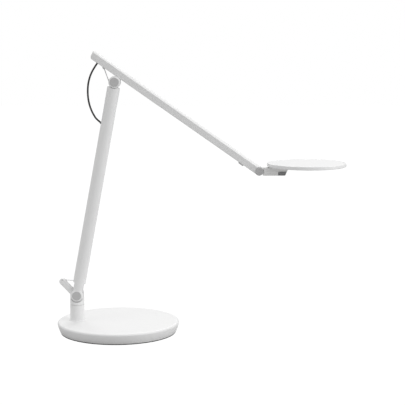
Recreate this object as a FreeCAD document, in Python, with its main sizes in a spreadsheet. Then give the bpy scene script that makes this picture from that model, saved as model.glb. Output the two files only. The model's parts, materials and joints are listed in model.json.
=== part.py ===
import FreeCAD, Part
import math
import os
import re

import Sketcher

# Balanced-arm desk lamp, in millimetres. The origin is on the desk under the centre of the
# round base, +X points the way the arm reaches, +Z is up, and the arms move in the plane Y = 0.
doc = FreeCAD.newDocument("BalanceLamp")
sheet = doc.addObject("Spreadsheet::Sheet", "Dims")
V = FreeCAD.Vector

# Every size is one row of the sheet: its name, its value or formula, and what it measures.
sizes = [
    # base
    ("base_radius", "100", "widest radius of the base"),
    ("crease_height", "15", "height of the crease where the base is widest"),
    ("edge_round", "3.4", "rounding of the top edge of the base"),
    ("wall_draw", "4.5", "how far the base wall draws in below the crease"),
    ("foot_radius", "=base_radius - wall_draw", "radius of the base wall at its lower edge"),
    ("wall_bow", "60", "radius of the bowed side wall of the base"),
    ("cover_wall", "2.4", "wall of the cast cover"),
    ("pad_thickness", "1.6", "rubber pad under the base"),
    ("pad_inset", "0.6", "how far the pad stays inside the wall"),
    ("plate_gap", "0.3", "gap around the closing plate"),
    ("plate_thickness", "1.6", "steel plate that closes the base"),
    ("weight_inset", "23", "how far the weight stays inside the base"),
    ("weight_radius", "=base_radius - weight_inset", "cast-iron weight"),
    ("weight_gap", "0.4", "gap above the weight"),
    ("weight_notch", "13.5", "round notch of the weight at the post"),
    ("boss_inset", "14.5", "how far the screw bosses stay inside the base"),
    ("boss_turn", "45", "direction of the first boss, in degrees"),
    ("boss_circle", "=base_radius - boss_inset", "pitch radius of the four screw bosses"),
    ("boss_radius", "4", "outer radius of a screw boss"),
    ("screw_radius", "1.5", "shank of the small screws"),
    ("head_radius", "3", "head of the small screws"),
    ("head_height", "1.4", "countersunk head of the small screws"),
    ("base_screw_length", "8", "shank below the head of a base screw"),
    ("base_top", "=crease_height + edge_round", "height of the flat top of the base"),
    ("cover_under", "=base_top - cover_wall", "underside of the flat top"),
    ("plate_top", "=pad_thickness + plate_thickness", "upper face of the closing plate"),
    ("plate_radius", "=foot_radius - cover_wall - plate_gap", "closing plate"),
    ("boss_place", "=boss_circle * cos(boss_turn)", "X and Y of the first boss"),
    # power inlet
    ("inlet_height", "9.2", "height of the inlet's axis"),
    ("inlet_bore", "2.85", "radius of the plug's bore"),
    ("inlet_depth", "9", "depth of the plug's bore"),
    ("inlet_nose", "4.5", "radius of the inlet's nose"),
    ("inlet_width", "12", "width of the inlet's body"),
    ("inlet_length", "10.6", "length of the inlet's body"),
    ("inlet_recess", "2.6", "how far the inlet's mouth stays inside the widest radius"),
    ("inlet_nose_length", "4.2", "length of the inlet's nose"),
    ("inlet_face", "=base_radius - inlet_recess", "distance of the inlet's mouth from the centre of the base"),
    ("inlet_body_end", "=inlet_face - inlet_nose_length", "where the inlet's body meets the inside of the wall"),
    # post and swivel
    ("post_inset", "32.2", "from the edge of the base to the middle of the post"),
    ("post_x", "=post_inset - base_radius", "X of the post and of the first pivot"),
    ("post_radius", "11.6", "post and swivel head"),
    ("post_drop", "15.6", "from the first pivot down to the top of the post"),
    ("post_top", "=pivot_height - post_drop", "top of the fixed post"),
    ("post_fillet", "3.5", "fillet at the foot of the post"),
    ("washer_height", "0.6", "thrust washer that shows as the swivel seam"),
    ("washer_radius", "10.7", "thrust washer, a little smaller than the post"),
    ("bush_radius", "7", "outer radius of the swivel bush"),
    ("spindle_radius", "5", "hollow swivel spindle"),
    ("spindle_bore", "2.8", "cable way through the spindle"),
    ("spindle_foot", "5.2", "height of the spindle's lower end"),
    ("spindle_seat", "7", "depth of the spindle in the swivel head"),
    ("nut_radius", "9.2", "corner radius of the spindle nut"),
    ("nut_height", "5.5", "spindle nut"),
    ("nut_washer_radius", "9", "washer under the nut"),
    ("nut_washer_height", "1.2", "washer under the nut"),
    ("run_gap", "0.05", "radial clearance of a turning fit"),
    ("fit_gap", "0.02", "radial clearance of a fixed fit"),
    ("face_gap", "0.05", "clearance between faces that slide"),
    ("over", "1", "how far drills and cutters pass the faces that they open"),
    ("side_gap", "0.4", "clearance beside a tongue in its fork"),
    ("head_base", "=post_top + washer_height + face_gap", "lower face of the swivel head"),
    ("pivot_height", "60.9", "height of the first pivot"),
    ("knuckle_round", "11.6", "rounded top of the swivel head about the pivot"),
    ("tongue_half", "6", "half thickness of a joint's tongue"),
    ("slot_half", "=tongue_half + side_gap", "half width of a fork's slot"),
    # pins and caps
    ("pin_radius", "2.5", "pivot pins"),
    ("cap_radius", "7.3", "grey caps of the two large joints"),
    ("cap_sink", "1.5", "depth of a cap's seat"),
    ("cap_thickness", "1.8", "grey caps"),
    ("cap_chamfer", "0.3", "chamfer of a cap"),
    # balance lever at the first joint
    ("lever_tilt", "-43.5", "lean of the lever from upright, away from the head"),
    ("lever_half_width", "5.1", "half width of the lever, seen from the front"),
    ("lever_half_depth", "4", "half thickness of the lever"),
    ("lever_length", "32.8", "from the pivot to the centre of the lever's round tip"),
    ("lever_offset", "-1.5", "offset of the lever's middle line from the pivot"),
    ("lever_root", "6.6", "round root of the lever about the pivot"),
    ("lever_gap", "0.2", "gap below the lever's root"),
    ("lever_round", "1.4", "rounded edges of the lever"),
    ("lever_pin_x", "0.5", "place of the wire's pin across the lever"),
    ("lever_pin_z", "35.2", "place of the wire's pin along the lever"),
    ("lever_pin_radius", "1", "wire's pin"),
    ("lever_slot_half", "1.1", "half width of the slot in the lever's tip"),
    ("lever_slot_depth", "9", "depth of that slot below the wire's pin"),
    ("wire_eye", "2.1", "outer radius of the wire's eye"),
    # lower arm, along its own axis from the first pivot
    ("lower_lean", "10.54", "lean of the lower arm from upright"),
    ("lower_length", "355.9", "from the first pivot to the elbow"),
    ("arm_half_width", "10.3", "half width of the lower arm, seen from the front"),
    ("arm_half_depth", "9.6", "half depth of the lower arm"),
    ("arm_wall", "1.6", "wall of the lower arm's tube"),
    ("end_round", "2.8", "rounded edge of the arm's round lower end"),
    ("pocket_gap", "0.7", "gap around a round end in its pocket"),
    ("slot_depth", "21", "depth of the fork's slot above the first pivot"),
    ("fork_top", "36", "where the tube starts, above the first pivot"),
    ("spigot", "12", "length of an end fitting inside the tube"),
    ("knuckle_drop", "34", "where the tube ends, below the elbow"),
    ("shoulder_drop", "8.6", "top of the lower arm's shoulders, below the elbow"),
    ("wire_radius", "0.7", "balance wires"),
    ("wire_entry", "23.2", "where the balance wire enters the arm"),
    ("spring_shift", "2.4", "offset of the spring from the arm's middle line"),
    ("spring_radius", "5", "balance spring of the lower arm"),
    ("spring_bore", "3.4", "inside of that spring"),
    ("spring_start", "70", "lower end of that spring"),
    ("spring_stud", "13", "stud between that spring's end and its anchor"),
    ("anchor_drop", "112.9", "from the elbow down to that spring's anchor"),
    ("spring_length", "=anchor_place - spring_start - spring_stud", "length of that spring"),
    ("anchor_place", "=lower_length - anchor_drop", "anchor of that spring"),
    ("anchor_thickness", "6", "spring anchors"),
    ("anchor_way", "3", "cable way beside the anchor of the lower spring"),
    ("roller_radius", "3", "groove radius of the wire rollers"),
    ("roller_flange", "4", "flange radius of the wire rollers"),
    ("roller_half", "1.6", "half width of the wire rollers"),
    ("roller_lift", "0.8", "rise of the wire at the roller above its entry"),
    ("roller_pin_radius", "1.2", "pins of the wire rollers"),
    ("channel_radius", "6.2", "cable and wire channel in the end fittings"),
    ("wire_slot_half", "1.6", "half width of the wire's slot"),
    ("wire_slot_rise", "4", "top of the wire's slot above the wire"),
    ("end_plate", "2", "end plates of the springs"),
    ("stud_radius", "1.6", "studs that tie the springs to their anchors"),
    ("ferrule_radius", "1.7", "balls on the ends of the wires"),
    ("wire_play", "0.3", "gap around a wire and its ball"),
    ("way_over", "12", "how far the wire's way is drilled past the knuckle"),
    ("grommet_drop", "68.8", "from the elbow down to the cord's entry"),
    ("grommet_place", "=lower_length - grommet_drop", "where the elbow cord enters the lower arm"),
    ("grommet_turn", "117", "direction of that entry, from the arm's axis"),
    ("grommet_radius", "2.2", "cord grommets"),
    ("grommet_reach", "0.8", "how far the grommets stand out"),
    ("grommet_depth", "3", "depth of the cord's ends in the arms"),
    ("cord_radius", "1.5", "elbow cord"),
    ("cord_lead", "8.5", "straight end of the cord outside each grommet"),
    ("rod_over", "5", "how far slanted drills pass a wall on each side"),
    # elbow
    ("cheek_radius", "9.6", "round cheeks of the elbow bracket"),
    ("cheek_half_depth", "10.6", "half depth over the cheeks"),
    ("cheek_round", "2", "rounded edge of the cheeks"),
    ("tongue_radius", "7", "round top of the lower arm's tongue"),
    ("tongue_root", "2", "how far the tongue reaches into the arm's shoulders"),
    ("neck_half", "5.8", "half width of the bracket's neck"),
    ("neck_half_depth", "8.4", "half depth of the bracket's neck"),
    ("web", "3.5", "thickness of the web between the cheeks"),
    ("neck_clear", "=arm_floor - web", "underside of the web between the cheeks"),
    ("wire_anchor_x", "1.9", "ball of the elbow wire, across the lower arm"),
    ("wire_anchor_drop", "20", "ball of the elbow wire, below the elbow"),
    ("wire_way", "1.3", "radius of the hole for the elbow wire"),
    # upper arm, along its own axis from the elbow
    ("upper_dip", "35", "dip of the upper arm below level"),
    ("arm_floor", "9.1", "underside of the upper arm above the elbow"),
    ("arm_height", "14.1", "height of the upper arm's section"),
    ("crown_rise", "3.6", "rise of the rounded top"),
    ("side_half", "8", "half width of the upper arm where it is widest"),
    ("floor_half", "5.6", "half width of its underside"),
    ("floor_round", "1.6", "rounded lower edges"),
    ("trim_over", "0.8", "how far the tail's trimming outlines pass its section"),
    ("tail_lip", "2.5", "lip of the tail cap inside the arm"),
    ("shell_wall", "1.6", "wall of the upper arm"),
    ("tail_end", "56.3", "from the elbow back to the tip of the tail"),
    ("tail_length", "10.8", "length of the tail cap"),
    ("tail_start", "=tail_end - tail_length", "from the elbow back to the tail cap's seam"),
    ("tail_slant", "1.6", "slant of the tail's end"),
    ("tail_lower_round", "4.6", "rounding under the tail"),
    ("tail_upper_round", "1.4", "rounding on top of the tail"),
    ("tail_side_round", "5", "rounding of the tail, seen from above"),
    ("shell_end", "=hinge_reach - fork_reach", "from the elbow to the head end fitting's seam"),
    ("cord_place", "40", "from the elbow back to the cord's exit"),
    ("bracket_head", "=arm_floor - bracket_head_drop", "heads of the bracket screws above the elbow"),
    ("bracket_head_radius", "2.1", "heads of the bracket screws"),
    ("bracket_head_height", "0.7", "countersunk heads of the bracket screws"),
    ("bracket_head_drop", "1.95", "from the arm's underside down to those heads"),
    ("screw_short", "0.2", "how far the bracket screws end below the top of their nut plate"),
    ("upper_roller_x", "-31.4", "upper roller along the upper arm"),
    ("upper_roller_z", "=arm_floor + upper_roller_rise", "upper roller across the upper arm"),
    ("upper_roller_seat", "6.6", "half length of the upper roller's pin"),
    ("upper_roller_rise", "7.5", "height of the upper roller above the arm's underside"),
    ("boss_reach", "2", "how far the wire's bushing stands out"),
    ("bushing_depth", "2.5", "depth of the wire's bushing in the arm"),
    ("bushing_radius", "2.1", "wire's bushing"),
    ("nut_plate_half", "8", "half length of the nut plate in the upper arm"),
    ("nut_plate_height", "3", "nut plate"),
    ("bracket_screw_place", "3.7", "bracket screws either side of the elbow"),
    ("upper_spring_radius", "4", "balance spring of the upper arm"),
    ("upper_spring_bore", "2.7", "inside of that spring"),
    ("upper_spring_start", "24", "elbow end of that spring"),
    ("upper_stud", "29.4", "from that spring's end to the middle of its anchor"),
    ("anchor_setback", "30.6", "from the head hinge back to that spring's anchor"),
    ("spring_rise", "6.3", "height of that spring above the arm's underside"),
    ("anchor_rise", "3", "how far its anchor stands above the spring's middle line"),
    ("upper_spring_length", "=upper_anchor_place - upper_spring_start - upper_stud", "length of that spring"),
    ("upper_anchor_place", "=hinge_reach - anchor_setback", "anchor of that spring"),
    ("upper_spring_rise", "=arm_floor + spring_rise", "height of that spring above the elbow's level"),
    ("plug_half", "4.6", "half length of the anchor's plug"),
    ("plug_drop", "1.9", "how far the plug stands out"),
    ("plug_half_width", "2.6", "half width of the plug"),
    # head hinge
    ("hinge_reach", "274", "from the elbow to the head hinge, along the upper arm"),
    ("hinge_lift", "6.8", "height of the head hinge above the arm's underside"),
    ("hinge_rise", "=arm_floor + hinge_lift", "from the elbow to the head hinge, across the upper arm"),
    ("barrel_radius", "7", "round end of the upper arm"),
    ("barrel_half", "8.3", "half width of that round end"),
    ("fork_reach", "16", "from the head hinge back to the fitting's seam"),
    ("bar_stop", "2.5", "end of the arm's section before the head hinge"),
    ("hinge_slot_back", "3.6", "open back of the hinge's slot"),
    ("upper_spigot", "8", "length of the fork's spigot in the arm"),
    ("barrel_gap", "0.5", "gap between the round end and the neck"),
    ("hinge_pin_radius", "1.8", "head hinge's pin"),
    ("hinge_cap_radius", "6.7", "grey caps of the head hinge"),
    ("hinge_cap_sink", "0.9", "depth of their seats"),
    ("hinge_cap_thickness", "1.2", "caps of the head hinge"),
    ("hinge_tongue_half", "3.8", "half thickness of the neck's tongue"),
    ("hinge_tongue_radius", "6.2", "round end of that tongue"),
    # neck, from the head hinge
    ("hinge_tongue_root", "4.4", "half height of the tongue where it joins the neck"),
    ("hinge_tongue_bite", "2", "how far that tongue reaches into the neck"),
    ("neck_start", "6.2", "start of the neck beside the hinge"),
    ("neck_half_width", "8.4", "half width of the neck"),
    ("neck_floor", "-7", "underside of the neck"),
    ("neck_roof", "5.8", "top of the neck beside the hinge"),
    ("neck_end", "46.6", "end of the neck under the head"),
    ("neck_end_low", "43.6", "end of the neck above its lower corner"),
    ("neck_shoulder", "2.9", "top of the slanted end of the neck"),
    ("neck_corner", "2.6", "rounded lower corner of the neck's end"),
    ("neck_edge", "1", "rounded long edges of the neck"),
    ("pad_start", "17", "start of the raised seat under the head"),
    ("button_start", "30.9", "start of the dimmer button"),
    ("button_end", "44.2", "end of the dimmer button at its top"),
    ("button_end_low", "41.7", "end of the dimmer button at its lower edge"),
    ("button_well", "6", "depth of the button's well in the neck"),
    ("button_floor", "-6.4", "lower edge of the button"),
    ("button_roof", "-0.4", "upper edge of the button"),
    ("button_depth", "4", "depth of the button in the neck"),
    ("button_proud", "0.4", "how far the button stands out"),
    ("button_round", "1.2", "rounded corners of the button"),
    ("button_gap", "0.15", "gap around the button"),
    ("button_travel", "0.8", "travel of the button"),
    ("head_screw_first", "20.6", "first head screw from the hinge"),
    ("head_screw_second", "27.4", "second head screw from the hinge"),
    ("head_screw_seat", "2", "seat of the head screws above the hinge"),
    ("head_screw_length", "8", "shank of the head screws"),
    ("head_screw_head", "1.8", "height of the head screws' heads"),
    # head
    ("disc_start", "13", "from the hinge to the near edge of the head"),
    ("head_centre", "=disc_radius + disc_start", "from the hinge to the centre of the head"),
    ("disc_radius", "64.4", "radius of the head"),
    ("disc_floor", "7.6", "lower edge of the head above the hinge"),
    ("disc_thickness", "6", "thickness of the head"),
    ("disc_upper_round", "1.4", "rounded top edge of the head"),
    ("disc_lower_round", "1.4", "rounded lower edge of the head"),
    ("rim_width", "3.2", "raised rim around the top of the head"),
    ("rim_rise", "0.4", "height of the raised rim"),
    ("lid_thickness", "1.2", "lid of the head"),
    ("rim_wall", "1.6", "rim wall of the head"),
    ("reflector_thickness", "0.4", "white reflector sheet"),
    ("guide_thickness", "2.2", "clear light guide"),
    ("lid_slope", "0.8", "slope from the raised rim to the flat top"),
    ("seat_inset", "0.6", "how far the seat under the head is inside the neck's sides"),
    ("seat_gap", "0.2", "gap of the head's layers around that seat"),
    ("strip_thickness", "0.8", "strip of light sources around the guide"),
    ("diffuser_thickness", "1", "milky diffuser"),
    ("film_gap", "0.02", "gap between the layers of the head"),
    ("board_length", "9.5", "dimmer's circuit board"),
    ("board_height", "5", "dimmer's circuit board"),
    ("board_thickness", "1", "dimmer's circuit board"),
    ("board_inset", "1", "from the end of the button to the end of its board"),
    ("switch_size", "3", "switch behind the button"),
    ("switch_height", "0.5", "switch behind the button"),
    # places worked out from the sizes above
    ("elbow_x", "=post_x + lower_length * sin(lower_lean)", "X of the elbow"),
    ("elbow_height", "=pivot_height + lower_length * cos(lower_lean)", "height of the elbow"),
    ("hinge_x", "=elbow_x + hinge_reach * cos(upper_dip) + hinge_rise * sin(upper_dip)",
     "X of the head hinge"),
    ("hinge_height", "=elbow_height - hinge_reach * sin(upper_dip) + hinge_rise * cos(upper_dip)",
     "height of the head hinge"),
    ("pocket_radius", "=arm_half_width + pocket_gap", "pocket of the swivel head"),
    ("elbow_pocket", "=cheek_radius + pocket_gap", "pocket of the lower arm's top"),
    ("tube_top", "=lower_length - knuckle_drop", "upper end of the lower arm's tube"),
    ("shoulder", "=lower_length - shoulder_drop", "top of the lower arm's shoulders"),
    ("cap_seat", "=arm_half_depth - cap_sink", "seat of the lower caps"),
    ("elbow_cap_seat", "=cheek_half_depth - cap_sink", "seat of the elbow caps"),
    ("hinge_cap_seat", "=barrel_half - hinge_cap_sink", "seat of the head hinge's caps"),
    ("wrap_radius", "=roller_radius + wire_radius + run_gap", "bend of a wire round a roller"),
    ("roller_x", "=spring_shift - wrap_radius", "lower roller, across the arm"),
    ("roller_z", "=wire_entry + roller_lift + wrap_radius", "lower roller, along the arm"),
    ("crown_edge", "=arm_floor + arm_height - crown_rise", "widest line of the upper arm"),
    ("arm_roof", "=arm_floor + arm_height", "top of the upper arm"),
    ("disc_top", "=disc_floor + disc_thickness", "top of the head's rim"),
    ("lid_face", "=disc_top - rim_rise", "flat top of the head inside its rim"),
    ("lid_under", "=lid_face - lid_thickness", "underside of the head's lid"),
    ("rim_bore", "=disc_radius - rim_wall", "inside of the head's rim"),
    ("strip_bore", "=rim_bore - fit_gap - strip_thickness", "inside of the strip of light sources"),
    ("guide_top", "=lid_under - reflector_thickness - film_gap", "top of the light guide"),
    ("guide_floor", "=guide_top - guide_thickness", "underside of the light guide"),
    ("diffuser_top", "=guide_floor - film_gap", "top of the diffuser"),
]
for row, (name, value, note) in enumerate(sizes, start=1):
    sheet.set(f"A{row}", name.replace("_", " "))
    sheet.set(f"B{row}", value)
    sheet.setAlias(f"B{row}", name)
    sheet.set(f"C{row}", note)
doc.recompute()


def bound(text):
    """The same formula with each size's name as a reference to the sheet."""
    return re.sub(r"\b([a-z][a-z_]+)\b(?!\()", r"Dims.\1", text)


trial = doc.addObject("Spreadsheet::Sheet", "Trial")


def number(text):
    """The present value of a formula, worked out in a cell of a second sheet."""
    trial.set("A1", "=" + bound(text))
    trial.recompute()
    return float(trial.get("A1"))


def place(x="0", y="0", z="0", turn="0", axis=(0, 1, 0)):
    spin = f"rotation(vector({axis[0]};{axis[1]};{axis[2]});{bound(turn)})"
    return f"placement(vector({bound(x)};{bound(y)};{bound(z)});{spin})"


no_turn = "rotation(vector(0;1;0);0)"

# The moving frames at rest: X, Z and lean of each one, with its origin on its joint's axis.
frame_places = {
    "base": ("0", "0", "0"),
    "swivel": ("post_x", "pivot_height", "0"),
    "lever": ("post_x", "pivot_height", "lever_tilt"),
    "lower": ("post_x", "pivot_height", "lower_lean"),
    "upper": ("elbow_x", "elbow_height", "upper_dip"),
    "head": ("hinge_x", "hinge_height", "0"),
}


def frame_text(frame):
    x, z, lean = frame_places[frame]
    return place(x, "0", z, lean)


def world(frame, x, z):
    """A point of a frame's middle plane, in the lamp's own coordinates."""
    origin_x, origin_z, lean = (number(item) for item in frame_places[frame])
    turn = FreeCAD.Rotation(V(0, 1, 0), lean)
    return V(origin_x, 0, origin_z) + turn.multVec(V(number(x), 0, number(z)))


parts = []


def part(label, frame, piece, seat=None):
    """Name a finished sub-part and carry its own place into its frame."""
    piece.Label = label
    own = seat or dict(piece.ExpressionEngine).get("Placement", place())
    piece.setExpression("Placement", f"{frame_text(frame)} * {own}")
    parts.append(piece)
    return piece


def cylinder(radius, length, x="0", y="0", z="0", along="z"):
    """A cylinder that starts at a point and runs along an axis."""
    rod = doc.addObject("Part::Cylinder", "rod")
    rod.setExpression("Radius", bound(radius))
    rod.setExpression("Height", bound(length))
    turns = {"z": ("0", (0, 1, 0)), "x": ("90", (0, 1, 0)), "y": ("-90", (1, 0, 0))}
    rod.setExpression("Placement", place(x, y, z, *turns[along]))
    return rod


def across(radius, half_length, x="0", z="0"):
    """A cylinder across the lamp, centred on the plane of the arms."""
    return cylinder(radius, f"2 * ({half_length})", x, f"-({half_length})", z, "y")


def box(x, y, z, length, width, height):
    block = doc.addObject("Part::Box", "block")
    block.setExpression("Length", bound(length))
    block.setExpression("Width", bound(width))
    block.setExpression("Height", bound(height))
    block.setExpression("Placement", place(x, y, z))
    return block


def slab(x, z, length, height, half_width):
    """A box centred on the plane of the arms."""
    return box(x, f"-({half_width})", z, length, f"2 * ({half_width})", height)


def cone(lower, upper, height, x="0", y="0", z="0", turn="0", axis=(0, 1, 0)):
    taper = doc.addObject("Part::Cone", "taper")
    taper.setExpression("Radius1", bound(lower))
    taper.setExpression("Radius2", bound(upper))
    taper.setExpression("Height", bound(height))
    taper.setExpression("Placement", place(x, y, z, turn, axis))
    return taper


def oval(half_width, half_depth, start, length, x="0"):
    """An oval bar along Z: its section is an ellipse."""
    rim = doc.addObject("Part::Ellipse", "rim")
    rim.setExpression("MajorRadius", bound(half_width))
    rim.setExpression("MinorRadius", bound(half_depth))
    bar = doc.addObject("Part::Extrusion", "bar")
    bar.Base = rim
    bar.Solid = True
    bar.DirMode = "Custom"
    bar.Dir = V(0, 0, 1)
    bar.setExpression("LengthFwd", bound(length))
    bar.setExpression("Placement", place(x, "0", start))
    return bar


def fuse(*shapes):
    joined = doc.addObject("Part::MultiFuse", "joined")
    joined.Shapes = list(shapes)
    joined.Refine = True
    return joined


def common(*shapes):
    shared = doc.addObject("Part::MultiCommon", "shared")
    shared.Shapes = list(shapes)
    return shared


def cut(base, *tools):
    rest = doc.addObject("Part::Cut", "rest")
    rest.Base = base
    rest.Tool = tools[0] if len(tools) == 1 else group(*tools)
    return rest


def group(*shapes):
    """Several separate solids as one object."""
    several = doc.addObject("Part::Compound", "several")
    several.Links = list(shapes)
    return several


def tube(outer, inner, length, x="0", y="0", z="0", along="z"):
    return cut(cylinder(outer, length, x, y, z, along), cylinder(inner, length, x, y, z, along))


def new_body():
    return doc.addObject("PartDesign::Body", "body")


def new_sketch(body, plane, offset="0"):
    sketch = body.newObject("Sketcher::SketchObject", "sketch")
    planes = {item.Role: item for item in body.Origin.OriginFeatures}
    sketch.AttachmentSupport = [(planes[plane], "")]
    sketch.MapMode = "FlatFace"
    sketch.setExpression("AttachmentOffset.Base.z", bound(offset))
    return sketch


def fix_value(sketch, kind, *args):
    """Add one constraint and tie its value to a formula of the sheet."""
    *elements, text = args
    index = sketch.addConstraint(Sketcher.Constraint(kind, *elements, number(text)))
    sketch.renameConstraint(index, f"{kind}{index}")
    sketch.setExpression(f"Constraints.{kind}{index}", bound(text))


def outline(sketch, points):
    """A closed outline. Each point is (x, y), reached by a line, or (x, y, radius), reached by an
    arc: a positive radius turns left on the way to the point and a negative one turns right."""
    spots = [(number(item[0]), number(item[1])) for item in points]
    ends = []
    for index, item in enumerate(points):
        start, end = V(*spots[index - 1], 0), V(*spots[index], 0)
        if len(item) == 2:
            geometry = Part.LineSegment(start, end)
        else:
            radius = number(item[2])
            chord = end - start
            left = V(-chord.y, chord.x, 0).normalize()
            rise = abs(radius) - math.sqrt(max(radius * radius - chord.Length ** 2 / 4, 0))
            middle = (start + end) * 0.5 - left * math.copysign(rise, radius)
            geometry = Part.Arc(start, middle, end)
        element = sketch.addGeometry(geometry, False)
        reverse = (sketch.getPoint(element, 1) - start).Length > 1e-6
        ends.append((element, 2, 1) if reverse else (element, 1, 2))
        if len(item) == 3:
            size = item[2].lstrip("-")
            fix_value(sketch, "Radius", element, size)
    for index, (element, start, end) in enumerate(ends):
        before, _, before_end = ends[index - 1]
        sketch.addConstraint(Sketcher.Constraint("Coincident", before, before_end, element, start))
        x, y = points[index - 1][:2]
        fix_value(sketch, "DistanceX", -1, 1, element, start, x)
        fix_value(sketch, "DistanceY", -1, 1, element, start, y)


def ring(sketch, x, y, radius):
    """A circle at a bound place."""
    spot = V(number(x), number(y), 0)
    element = sketch.addGeometry(Part.Circle(spot, V(0, 0, 1), number(radius)), False)
    fix_value(sketch, "Radius", element, radius)
    fix_value(sketch, "DistanceX", -1, 1, element, 3, x)
    fix_value(sketch, "DistanceY", -1, 1, element, 3, y)


def pad(body, sketch, length, middle=False):
    feature = body.newObject("PartDesign::Pad", "pad")
    feature.Profile = sketch
    feature.setExpression("Length", bound(length))
    if middle:
        feature.SideType = "Symmetric"
    doc.recompute()
    return feature


def pocket(body, sketch, length, middle=False):
    before = body.Shape.Volume
    feature = body.newObject("PartDesign::Pocket", "pocket")
    feature.Profile = sketch
    feature.setExpression("Length", bound(length))
    if middle:
        feature.SideType = "Symmetric"
    doc.recompute()
    if not body.Shape.Volume < before - 1e-3:
        raise RuntimeError(f"{body.Label}: a pocket cuts nothing")
    return feature


def revolve(body, sketch, axis="V_Axis"):
    feature = body.newObject("PartDesign::Revolution", "revolution")
    feature.Profile = sketch
    feature.ReferenceAxis = (sketch, [axis])
    feature.Angle = 360
    doc.recompute()
    return feature


def edges_where(body, test):
    """Names of the edges of a body's present shape that pass a test on the edge."""
    edges = body.Tip.Shape.Edges
    return [f"Edge{index}" for index, edge in enumerate(edges, start=1) if test(edge)]


def fillet(body, names, radius):
    base = body.Tip
    feature = body.newObject("PartDesign::Fillet", "fillet")
    feature.Base = (base, names)
    feature.setExpression("Radius", bound(radius))
    doc.recompute()
    return feature


def is_circle(edge, radius, z=None):
    curve = edge.Curve
    if not isinstance(curve, Part.Circle) or abs(curve.Radius - radius) > 1e-4:
        return False
    return z is None or abs(curve.Center.z - z) < 1e-4


def pattern(body, features, count):
    planes = {item.Role: item for item in body.Origin.OriginFeatures}
    copies = body.newObject("PartDesign::PolarPattern", "copies")
    copies.Originals = features
    copies.Axis = (planes["Z_Axis"], [""])
    copies.Angle = 360
    copies.Occurrences = count
    body.Tip = copies
    doc.recompute()
    return copies


def rounded_disc(radius, half_depth, edge):
    """A disc across the lamp, on its own centre, with both rims rounded."""
    body = new_body()
    sketch = new_sketch(body, "XZ_Plane")
    ring(sketch, "0", "0", radius)
    pad(body, sketch, f"2 * ({half_depth})", middle=True)
    rims = edges_where(body, lambda item: is_circle(item, number(radius)))
    fillet(body, rims, edge)
    return body


def cap_pair(radius, thickness, seat):
    """Two flat caps with a chamfer, one on each side of a joint."""
    pieces = []
    for side, turn in ((1, "-90"), (-1, "90")):
        start = seat if side > 0 else f"-({seat})"
        collar = cone(radius, radius + " - cap_chamfer", "cap_chamfer",
                      z=f"{thickness} - cap_chamfer")
        disc = fuse(cylinder(radius, f"{thickness} - cap_chamfer"), collar)
        disc.setExpression("Placement", place("0", start, "0", turn, (1, 0, 0)))
        pieces.append(disc)
    return group(*pieces)


# ---- base ----------------------------------------------------------------------------------
def make_base_cover():
    body = new_body()
    section = new_sketch(body, "XZ_Plane")
    outline(section, [
        ("0", "cover_under"),
        ("base_radius - edge_round", "cover_under"),
        ("base_radius - cover_wall", "crease_height"),
        ("foot_radius - cover_wall", "pad_thickness"),
        ("foot_radius", "pad_thickness"),
        ("base_radius", "crease_height", "wall_bow"),
        ("base_radius - edge_round", "base_top", "edge_round"),
        ("0", "base_top"),
    ])
    revolve(body, section)
    post = new_sketch(body, "XY_Plane", "base_top")
    ring(post, "post_x", "0", "post_radius")
    pad(body, post, "post_top - base_top")
    top, radius = number("base_top"), number("post_radius")
    fillet(body, edges_where(body, lambda item: is_circle(item, radius, top)), "post_fillet")
    bore = new_sketch(body, "XY_Plane", "post_top")
    ring(bore, "post_x", "0", "bush_radius + fit_gap")
    pocket(body, bore, "post_top")
    boss = new_sketch(body, "XY_Plane", "plate_top")
    ring(boss, "boss_place", "boss_place", "boss_radius")
    ring(boss, "boss_place", "boss_place", "screw_radius + fit_gap")
    pattern(body, [pad(body, boss, "cover_under - plate_top")], 4)
    mouth = new_sketch(body, "XZ_Plane")
    ring(mouth, "0", "inlet_height", "inlet_nose + fit_gap")
    pocket(body, mouth, "base_radius + over")
    return part("base_cover", "base", body)


def make_base_inside():
    weight = cut(cylinder("weight_radius", "cover_under - plate_top - weight_gap", z="plate_top"),
                 cylinder("weight_notch", "base_top", "post_x"))
    part("base_weight", "base", weight)
    screws, holes = [], []
    for x_sign in ("", "-"):
        for y_sign in ("", "-"):
            spot = (f"{x_sign}boss_place", f"{y_sign}boss_place")
            head = cone("head_radius", "screw_radius", "head_height", *spot, "pad_thickness")
            shank = cylinder("screw_radius", "base_screw_length", *spot, "pad_thickness + head_height")
            screws.append(fuse(head, shank))
            seat = cone("head_radius + fit_gap", "screw_radius + fit_gap", "head_height", *spot,
                        "pad_thickness")
            holes += [seat, cylinder("screw_radius + fit_gap", "plate_thickness", *spot,
                                     "pad_thickness + head_height")]
    part("base_plate", "base", cut(cylinder("plate_radius", "plate_thickness", z="pad_thickness"),
                                   *holes))
    part("base_screws", "base", group(*screws))
    part("foot_pad", "base", cylinder("foot_radius - pad_inset", "pad_thickness"))


def make_power_inlet():
    block = box("-inlet_width / 2", "inlet_body_end - inlet_length", "plate_top", "inlet_width",
                "inlet_length", "2 * (inlet_height - plate_top)")
    nose = cylinder("inlet_nose", "inlet_face - inlet_body_end + over", "0", "inlet_body_end - over",
                    "inlet_height", "y")
    bore = cylinder("inlet_bore", "inlet_depth + over", "0", "inlet_face - inlet_depth",
                    "inlet_height", "y")
    return part("power_inlet", "base", cut(fuse(block, nose), bore))


def make_swivel_bearing():
    bush = tube("bush_radius", "spindle_radius + run_gap", "post_top - cover_under", "post_x", "0",
                "cover_under")
    part("swivel_bush", "base", bush)
    washer = tube("washer_radius", "spindle_radius + run_gap", "washer_height", "post_x", "0",
                  "post_top")
    part("swivel_washer", "base", washer)


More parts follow.
